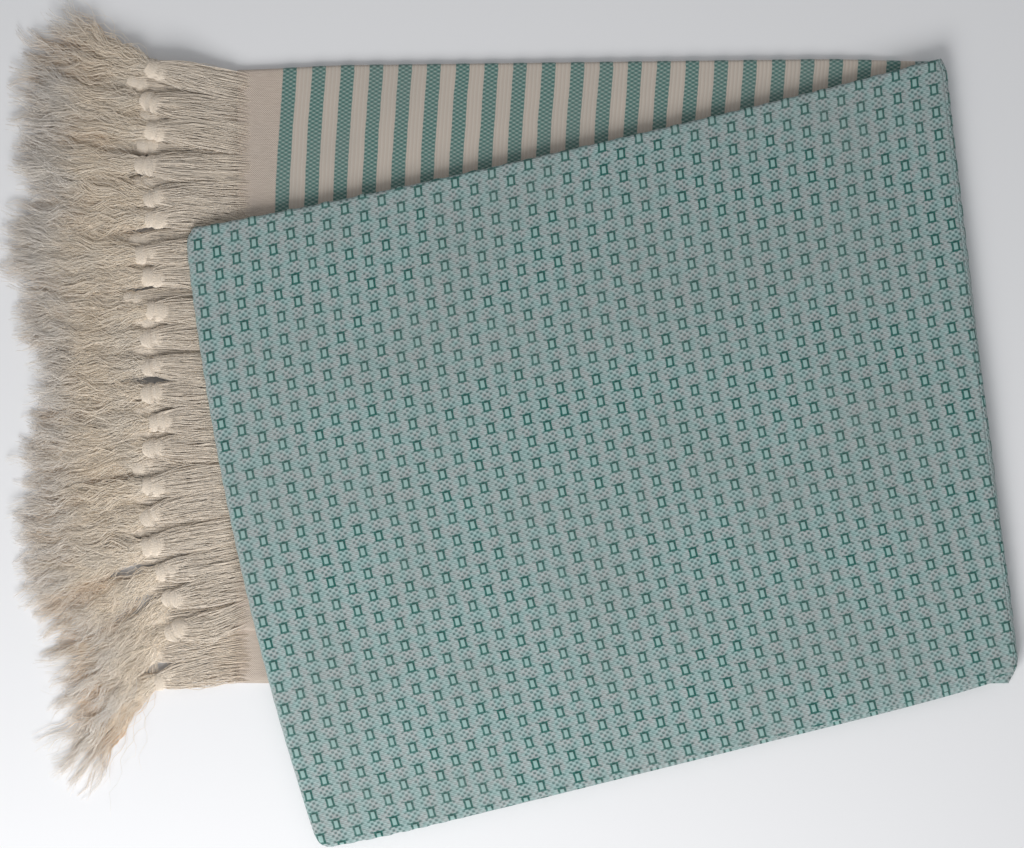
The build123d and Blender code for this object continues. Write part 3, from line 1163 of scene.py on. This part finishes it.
    def wrap(self) -> tuple[np.ndarray, np.ndarray]:
        """The turns of the knot: their paths and radii.

        Returns:
            An array of yarns, points and coordinates, and the radius at each point.
        """
        rng, steps, count = self.rng, 20, self.wrap_yarns
        ahead, side = self.ways(self.heading + self.skirt_turn * 0.25 + rng.normal(0, 9))
        share = np.linspace(0, 1, steps)[None, :]
        hand = rng.choice([-1, 1])
        turn = hand * share * math.tau * 1.12 - math.pi / 2
        place = np.linspace(-1, 1, count)[:, None]
        barrel = np.sqrt(1 - (0.76 * place) ** 2) * rng.uniform(*self.barrel) * MM
        waist = rng.uniform(-0.25, 0.25)
        barrel = barrel * (1 - 0.2 * np.exp(-(((place - waist) / 0.22) ** 2)))
        barrel = barrel + rng.uniform(-0.25, 0.25, (count, 1)) * MM
        on = place * 9.2 * MM + 2.2 * hand * MM * np.sin(turn)
        paths = self.knot() + on[..., None] * ahead
        paths = paths + (barrel * np.cos(turn))[..., None] * side
        paths = paths + (0.62 * barrel * np.sin(turn))[..., None] * UP
        paths[..., 2] = np.maximum(paths[..., 2], self.floor)
        return paths, np.full((count, steps), self.wrap_radius)

    def build(self) -> bpy.types.Object:
        """Spins the tassel's yarns into one piece."""
        vertices, faces, spots = [], [], []
        first = number = 0
        for paths, radius in (self.roots(), self.wrap(), self.skirt()):
            points, made, spot = spin(paths, radius, first, number)
            vertices.append(points)
            faces += made
            spots.append(spot)
            first += len(points)
            number += len(paths)
        piece = new_piece(f"{self.name}_yarns", np.concatenate(vertices), faces)
        map_faces(piece, "yarn", np.concatenate(spots))
        return piece


@dataclass
class Fringe:
    """The row of tassels of the end that shows, and the pressed ones of the tucked end. Turns
    are in degrees. Of two values, the first is for the lower layer."""

    fold: Fold
    yarn: bpy.types.Material
    root_turn_back: float = 12.0
    root_turn_front: float = 16.0
    skirt_turn_back: float = 29.0
    skirt_turn_front: float = 54.0
    back_reach: float = 0.19  # the share of the row that turns back
    front_reach: float = 0.38  # the share of the row that turns to the front
    knot_heights: tuple = (4.6 * MM, 9.4 * MM)
    root_lengths: tuple = (79.0 * MM, 68.0 * MM)
    front_shortening: float = 20.0 * MM
    skirt_length: float = 112.0  # this and the next two are in millimetres
    skirt_gains: tuple[float, float, float] = (13.0, -5.0, 22.0)  # near the back, front and end
    pressed_length: float = 184.0
    pressed_yarns: int = 18

    def turns(self, share: float) -> tuple[float, float]:
        """How far a root and a skirt turn at a share of the way to the front, in degrees.

        Args:
            share: The share.

        Returns:
            The root's turn and the skirt's.
        """
        back = max(0.0, 1 - share / self.back_reach)
        front = max(0.0, 1 - (1 - share) / self.front_reach)
        root = self.root_turn_back * back - self.root_turn_front * front
        skirt = self.skirt_turn_back * back - self.skirt_turn_front * front**1.3
        return root, skirt

    def short(self, share: float) -> float:
        """How much shorter a root is at a share of the way to the front."""
        return self.front_shortening * float(smooth(0.78, 1.0, np.array(share)))

    def skirt(self, share: float) -> float:
        """The length of a skirt at a share of the way to the front.

        Args:
            share: The share.

        Returns:
            The length, in metres.
        """
        back = math.exp(-(((share - 0.22) / 0.12) ** 2))
        front = float(smooth(0.55, 0.8, np.array(share)))
        last = float(smooth(0.92, 0.97, np.array(share)))
        gains = zip(self.skirt_gains, (back, front, last))
        return (self.skirt_length + sum(gain * part for gain, part in gains)) * MM

    def spread(self, layer: int, share: float) -> float:
        """The turn in degrees that brings a lower knot between two of the upper ones.

        Args:
            layer: 0 for the lower layer and 1 for the upper.
            share: The tassel's share of the way to the front.

        Returns:
            The turn.
        """
        if layer:
            return 0.0
        pitch = self.fold.upper_width / self.fold.tassels
        place = share * self.fold.lower_width
        aside = round(place / pitch) * pitch - place
        return math.degrees(aside / self.root_lengths[0])

    def row(self, layer: int) -> list[bpy.types.Object]:
        """The tassels of one layer of the base.

        Args:
            layer: 0 for the lower layer and 1 for the upper.

        Returns:
            The pieces, from the back to the front.
        """
        at = self.fold.places()
        front = at["upper_front"] if layer else at["lower_front"]
        back = at["hem_back"]
        length = np.linalg.norm(front - back)
        made = []
        for number in range(self.fold.tassels):
            share = (number + 0.5) / self.fold.tassels
            root_turn, skirt_turn = self.turns(share)
            node = f"{'upper' if layer else 'lower'}_tassel_{number + 1:02d}"
            rng = np.random.default_rng(SEED + 100 * layer + number)
            tassel = Tassel(
                name=node,
                root=back + share * (front - back),
                hem_way=(front - back) / length,
                width=length / self.fold.tassels * 1.03,
                heading=180 - root_turn + self.spread(layer, share) + rng.normal(0, 2),
                skirt_turn=root_turn - skirt_turn,
                height=self.fold.level(layer) + self.fold.ply / 2,
                rise=self.knot_heights[layer] + rng.normal(0, 0.4) * MM,
                rng=rng,
                root_length=self.root_lengths[layer] - self.short(share) + rng.normal(0, 3) * MM,
                skirt_length=self.skirt(share) + rng.normal(0, 5) * MM,
            )
            piece = tassel.build()
            self.dress(piece, Body.BASE, node)
            made.append(piece)
        return made

    def pressed(self, layer: int) -> bpy.types.Object:
        """The tassels of one layer of the tucked end, pressed flat.

        Args:
            layer: The cloth's layer, counted from 0 at the bottom of the towel.

        Returns:
            The piece.
        """
        at = self.fold.places()
        back, front = at["tucked_hem_back"], at["tucked_hem_front"]
        rng = np.random.default_rng(SEED + 500 + layer)
        steps = 16
        way, share = unit(self.fold.end_lean), np.linspace(0, 1, steps)
        yarns, tassels = self.pressed_yarns, self.fold.tassels
        count = tassels * yarns
        group = np.repeat(np.arange(tassels), yarns)
        spread = np.tile(np.linspace(-0.48, 0.48, yarns), tassels)
        pinch = 1 - 0.72 * np.exp(-(((share - 0.4) / 0.16) ** 2))
        place = (group + 0.5)[:, None] + spread[:, None] * pinch
        side = (front - back) / tassels
        length = (self.pressed_length - 14 * rng.uniform(0, 1, count)) * MM
        plan = back + place[..., None] * side + (length[:, None] * share)[..., None] * way
        wave = 1.0 * MM * np.sin(math.tau * share * 4 + group[:, None]) * smooth(0.5, 0.9, share)
        plan = plan + wave[..., None] * side / np.linalg.norm(side)
        height = self.fold.level(layer) + self.fold.ply / 2
        flat = height + rng.uniform(-0.5, 0.5, count)[:, None] * MM + 0 * share
        paths = np.concatenate([plan, flat[..., None]], axis=-1)
        points, faces, spot = spin(paths, np.full((count, steps), 0.45 * MM), 0, 0)
        node = f"tucked_{'upper' if layer == 3 else 'lower'}_tassels"
        piece = new_piece(f"{node}_yarns", points, faces)
        map_faces(piece, "yarn", spot)
        self.dress(piece, Body.FLAP, node)
        return piece

    def dress(self, piece: bpy.types.Object, body: Body, node: str) -> None:
        """Gives a piece its yarn and its place in the frame.

        Args:
            piece: The piece.
            body: The body that it rides on.
            node: The node that it stands for.
        """
        piece.data.materials.append(self.yarn)
        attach(piece, body.value)
        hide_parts(node)


@dataclass
class Cloth:
    """The woven cloth, layer by layer, with the bends that join its layers. Flat sizes are
    those before it was folded. Of two values, the first is for the lower layer."""

    fold: Fold
    pattern: Pattern
    cotton: bpy.types.Material
    fine: float = 2.0 * MM  # the grid's step, from the layer that shows most to the hidden ones
    medium: float = 2.8 * MM
    coarse: float = 6.0 * MM
    end_turns: int = 12  # how many steps an end fold turns in
    tucked_width: float = 494.0 * MM
    base_flat: tuple[float, float] = (625.0 * MM, 615.0 * MM)
    upper_flat_width: float = 483.0 * MM
    flap_flat_width: float = 513.0 * MM
    flap_flat: tuple[float, float] = (625.0 * MM, 640.0 * MM)
    bends: tuple[float, float] = (7.0 * MM, 2.6 * MM)  # the crosswise fold, outside and inside

    def count(self, length: float, step: float, every: int) -> int:
        """A number of grid points that a coarser inner grid can share."""
        return every * max(1, round(length / step / every)) + 1

    def across(self, width: float, step: float, every: int, upper: bool) -> tuple:
        """Shares across a strip and turns round its lengthwise fold, back to front.

        The upper layer takes the half of the fold that is above its middle.

        Args:
            width: The strip's width.
            step: The grid's step.
            every: How many points of the outer grid there are to one of the inner.
            upper: Whether it is the upper of the strip's two layers.

        Returns:
            The shares and the turns, one for each column of the mesh.
        """
        cells = self.count(width, step, every)
        flat = np.linspace(0, 1, cells)[1:]
        wrap = np.linspace(math.pi / 2, 0, 5 if every > 1 else 4)
        shares = np.concatenate([np.zeros(len(wrap)), flat])
        wraps = np.concatenate([wrap, np.zeros(len(flat))])
        if (len(shares) - 1) % every:
            raise ValueError("the grid across doesn't fit its inner grid")
        return shares, wraps if upper else math.pi - wraps

    def layer(
        self, name: str, strip: Strip, upper: bool, lay: Lay, weave: Weave, step: float,
        every: int = 1, end_bend: bool = False,
    ) -> Sheet:
        """A layer of a strip, with the turn round its far fold where it has one.

        Args:
            name: The piece's name.
            strip: The strip.
            upper: Whether it is the upper of the strip's two layers.
            lay: How its cloth runs.
            weave: Its weave.
            step: The grid's step.
            every: How many points of the outer grid there are to one of the inner. The weave's
                relief is in the shape of the outer face where there is more than one.
            end_bend: Whether it goes on round its far edge.

        Returns:
            The sheet.
        """
        length = np.linalg.norm(strip.back.end - strip.back.start)
        width = np.linalg.norm(strip.near.end - strip.near.start)
        rows = self.count(length, step, every)
        along, bend = np.linspace(0, 1, rows), np.zeros(rows)
        extra = np.zeros(rows)
        if end_bend:
            along = np.concatenate([along, np.ones(self.end_turns)])
            arc = np.linspace(0, math.pi, self.end_turns + 1)[1:]
            bend = np.concatenate([bend, arc])
            radius = strip.middle + (self.fold.half if upper else -self.fold.half)
            extra = np.concatenate([extra, arc * abs(radius - self.fold.end_height)])
        shares, wraps = self.across(width, step, every, upper)
        return Sheet(
            name=name, strip=strip, fold=self.fold, weave=weave,
            along=along, bend=bend, bend_height=self.fold.end_height,
            bend_way=unit(180 + self.fold.end_lean), across=shares, wrap=wraps,
            extra=extra, lay=lay, every=every, puffed=every > 1,
        )

    def dress(
        self, sheet: Sheet, nodes: tuple, flat: tuple, body: Body | None = None
    ) -> bpy.types.Object:
        """Builds a sheet, gives it its finish, hides the nodes that it stands for and puts it on
        its body.

        Args:
            sheet: The sheet.
            nodes: The nodes that it stands for.
            flat: Its flat width and length; not used.
            body: The body that it rides on, or None for a bend.

        Returns:
            The piece.
        """
        piece = sheet.build(self.pattern)
        piece.data.materials.append(self.cotton)
        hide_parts(*nodes)
        if body:
            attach(piece, body.value)
        return piece

    def base(self) -> list[bpy.types.Object]:
        """The base's two layers."""
        lay, weave = self.fold.base_lay(), Weave.STRIPED
        strips = (self.fold.base(False), self.fold.base(True))
        lower = self.layer("base_lower_cloth", strips[0], False, lay, weave, self.coarse)
        upper = self.layer("base_upper_cloth", strips[1], True, lay, weave, self.medium, 4)
        nodes = ("base_lower_layer", "base_lower_hem")
        flat = (self.fold.lower_width, self.base_flat[0])
        pieces = [self.dress(lower, nodes, flat, Body.BASE)]
        nodes = ("base_upper_layer", "base_upper_hem", "base_back_fold")
        flat = (self.upper_flat_width, self.base_flat[1])
        return pieces + [self.dress(upper, nodes, flat, Body.BASE)]

    def flap(self) -> list[bpy.types.Object]:
        """The flap's two layers, each round the end fold."""
        lay, weave = self.fold.flap_lay(self.pattern.start_of_flap), Weave.BLOCK
        strips = (self.fold.flap(False), self.fold.flap(True))
        lower = self.layer("flap_lower_cloth", strips[0], False, lay, weave, self.coarse, 1, True)
        upper = self.layer("flap_upper_cloth", strips[1], True, lay, weave, self.fine, 4, True)
        nodes = ("flap_lower_layer", "end_fold_inner")
        flat = (self.flap_flat_width, self.flap_flat[0])
        pieces = [self.dress(lower, nodes, flat, Body.FLAP)]
        nodes = ("flap_upper_layer", "flap_back_fold", "end_fold_outer")
        flat = (self.flap_flat_width, self.flap_flat[1])
        return pieces + [self.dress(upper, nodes, flat, Body.FLAP)]

    def tucked(self) -> list[bpy.types.Object]:
        """The tucked end's two layers."""
        lay = self.fold.tucked_lay(self.pattern.end - self.fold.tucked_length)
        flat = (self.tucked_width, self.fold.tucked_length)
        pieces = []
        for name, upper in (("upper", True), ("lower", False)):
            name, strip = f"tucked_{name}", self.fold.tucked()
            sheet = self.layer(f"{name}_cloth", strip, upper, lay, Weave.BLOCK, self.coarse)
            nodes = [f"{name}_layer", f"{name}_hem"]
            nodes += ["tucked_back_fold"] if upper else []
            pieces.append(self.dress(sheet, nodes, flat, Body.FLAP))
        return pieces

    def crosswise(self) -> list[bpy.types.Object]:
        """The two bends of the crosswise fold, between the base and the flap."""
        corner, height = self.fold.corner(), self.fold.axis_height
        turns = np.linspace(math.pi, 0, 17)
        pieces = []
        for name, upper, radius in zip(("outer", "inner"), (True, False), self.bends):
            step, every = (self.fine, 4) if upper else (self.coarse, 1)
            shares, wraps = self.across(self.fold.fold_length, step, every, upper)
            sheet = Sheet(
                name=f"crosswise_{name}_cloth", strip=self.fold.flap(upper), fold=self.fold,
                weave=Weave.BLOCK, along=np.zeros(len(turns)), bend=turns, bend_height=height,
                bend_way=unit(self.fold.fold_lean), across=shares, wrap=wraps,
                extra=-radius * turns, lay=self.fold.flap_lay(self.pattern.start_of_flap),
                every=every, puffed=upper, bend_reach=self.fold.fold_reach,
            )
            neutral = radius - self.fold.ply / 2 if upper else radius + self.fold.ply / 2
            flat = (self.fold.fold_length, neutral * math.pi)
            piece = self.dress(sheet, (f"crosswise_fold_{name}",), flat)
            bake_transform(piece)
            pieces.append(piece)
        return pieces


@dataclass(frozen=True)
class PaleFloor:
    """The floor's plain matt finish."""

    colour: tuple = (0.86, 0.86, 0.87, 1)
    roughness: float = 0.9

    def make(self) -> bpy.types.Material:
        """The floor's material."""
        shade = Shade("pale_floor")
        shade.constants({"Base Color": self.colour, "Roughness": self.roughness})
        return shade.material


@dataclass(frozen=True)
class Studio:
    """A pale floor, soft light from the front left, and a camera looking straight down."""

    roll: float = 0.81
    height: float = 1.9
    view_width: float = 0.850  # how much of the floor the camera takes in
    aim: tuple = (-0.005, 0.0016)
    sensor: float = 36.0
    floor_size: float = 6.0
    room: tuple = (0.95, 0.97, 1.0, 1)
    room_power: float = 0.33

    def floor(self) -> None:
        """The floor that the towel lies on."""
        bpy.ops.mesh.primitive_plane_add(size=self.floor_size, location=(0, 0, -0.6 * MM))
        floor = bpy.context.object
        floor.name = "floor"
        floor.data.materials.append(PaleFloor().make())

    def lights(self) -> None:
        """A large soft key light, a weaker fill, and the room's own light."""
        for name, place, size, power in (
            ("key", (-0.42, -1.25, 1.05), 1.0, 23.5),
            ("fill", (0.9, 0.7, 2.0), 2.0, 4.0),
        ):
            data = bpy.data.lights.new(name, "AREA")
            data.size, data.energy = size, power
            lamp = bpy.data.objects.new(name, data)
            lamp.location = place
            way = np.array([-0.05, -0.05, 0.0]) - np.array(place)
            across = math.hypot(way[0], way[1])
            lamp.rotation_euler = (math.atan2(across, -way[2]), 0, math.atan2(-way[0], way[1]))
            bpy.context.collection.objects.link(lamp)
        world = bpy.data.worlds.new("room")
        world.use_nodes = True
        background = world.node_tree.nodes["Background"]
        background.inputs[0].default_value = self.room
        background.inputs[1].default_value = self.room_power
        bpy.context.scene.world = world

    def camera(self) -> None:
        """The camera, which takes in the whole towel from above."""
        data = bpy.data.cameras.new("camera")
        data.sensor_width = self.sensor
        data.lens = self.sensor * self.height / self.view_width
        camera = bpy.data.objects.new("camera", data)
        camera.location = (*self.aim, self.height)
        camera.rotation_euler = (0, 0, -math.radians(self.roll))
        bpy.context.collection.objects.link(camera)
        bpy.context.scene.camera = camera
        bpy.context.scene.view_settings.view_transform = "Standard"


def main() -> None:
    """Builds the towel and its studio."""
    logging.basicConfig(level=logging.INFO)
    fold, pattern = Fold(), Pattern()
    studio = Studio()
    studio.floor()
    studio.lights()
    studio.camera()
    cloth = Cloth(fold, pattern, Cotton(pattern).make())
    pieces = cloth.base() + cloth.flap() + cloth.tucked() + cloth.crosswise()
    fringe = Fringe(fold, Yarn().make())
    for layer in (0, 1):
        pieces += fringe.row(layer)
        pieces.append(fringe.pressed(layer + 2))
    for piece in pieces:
        log.info("%s: %d faces", piece.name, len(piece.data.polygons))


if __name__ == "__main__":
    main()
